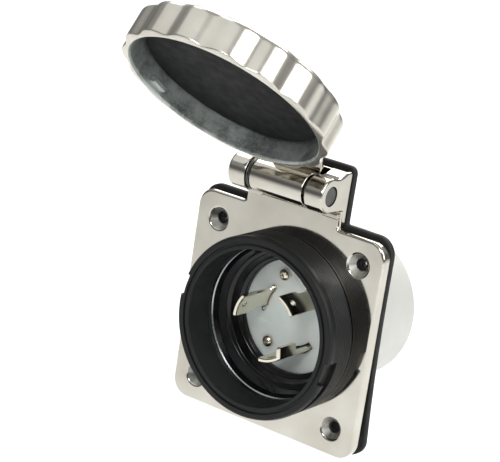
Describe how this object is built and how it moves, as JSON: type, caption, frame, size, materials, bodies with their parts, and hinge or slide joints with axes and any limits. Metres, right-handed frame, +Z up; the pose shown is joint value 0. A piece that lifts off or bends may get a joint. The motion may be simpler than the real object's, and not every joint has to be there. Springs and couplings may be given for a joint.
{
  "type": "flush power inlet with hinged cap",
  "caption": "Panel-mounted locking-blade power inlet: square stainless flange, black bayonet collar, curved blades, hinged scalloped cap and white rear enclosure.",
  "frame": {"origin": "centre of the panel plane, where the axis of the collar crosses the back face of the flange gasket", "axes": "+X to the viewer's right, +Z up towards the hinge, +Y into the panel along the axis of the collar; the cap side faces -Y"},
  "size_m": [0.0928, 0.1624, 0.1809],
  "materials": {
    "polished_steel": "mirror-polished stainless casting",
    "satin_steel": "polished stainless outside, blasted inside",
    "pin_steel": "dull steel pin",
    "spring_steel": "dark spring steel",
    "nickel_plate": "nickel-plated brass",
    "brass": "bare brass",
    "black_plastic": "fine matte black moulding",
    "gloss_black_plastic": "glossy black moulding",
    "black_rubber": "matte black rubber",
    "seal_rubber": "smooth matte black rubber",
    "milky_nylon": "translucent bluish-white nylon",
    "white_plastic": "satin off-white moulding",
    "grey_nylon": "grey moulding"
  },
  "bodies": {
    "inlet": {"flange": "polished_steel", "flange_gasket": "black_rubber", "threaded_collar": "black_plastic", "insulator_body": "gloss_black_plastic", "body_seal_ring": "black_rubber", "blade_carrier": "milky_nylon", "terminal_block": "grey_nylon", "blade_hot": "nickel_plate", "blade_neutral": "nickel_plate", "blade_ground": "nickel_plate", "face_screw_1": "nickel_plate", "face_screw_2": "nickel_plate", "face_screw_3": "nickel_plate", "terminal_1": "brass", "terminal_2": "brass", "terminal_3": "brass", "terminal_screw_1": "nickel_plate", "terminal_screw_2": "nickel_plate", "terminal_screw_3": "nickel_plate", "rear_cover": "white_plastic", "cover_screw_1": "nickel_plate", "cover_screw_2": "nickel_plate", "cable_grommet": "black_rubber", "cable_clamp_bar": "white_plastic", "clamp_screw_1": "nickel_plate", "clamp_screw_2": "nickel_plate", "hinge_pin": "pin_steel", "hinge_washer": "spring_steel", "wave_washer": "spring_steel"},
    "lid": {"lid_arm": "polished_steel", "pivot_rivet": "polished_steel", "pivot_washer": "spring_steel", "pivot_clip": "spring_steel"},
    "cap": {"cap": "satin_steel", "cap_seal": "seal_rubber"}
  },
  "joints": [
    {"name": "lid_hinge", "type": "hinge", "parent": "inlet", "child": "lid", "pos_m": [0, -0.0167, 0.0609], "axis": [1, 0, 0], "range_deg": [-9, 128.2]},
    {"name": "cap_twist", "type": "hinge", "parent": "lid", "child": "cap", "pos_m": [0, -0.06456, 0.09856], "axis": [0, -0.6184, -0.7859], "range_deg": [0, 50]}
  ]
}
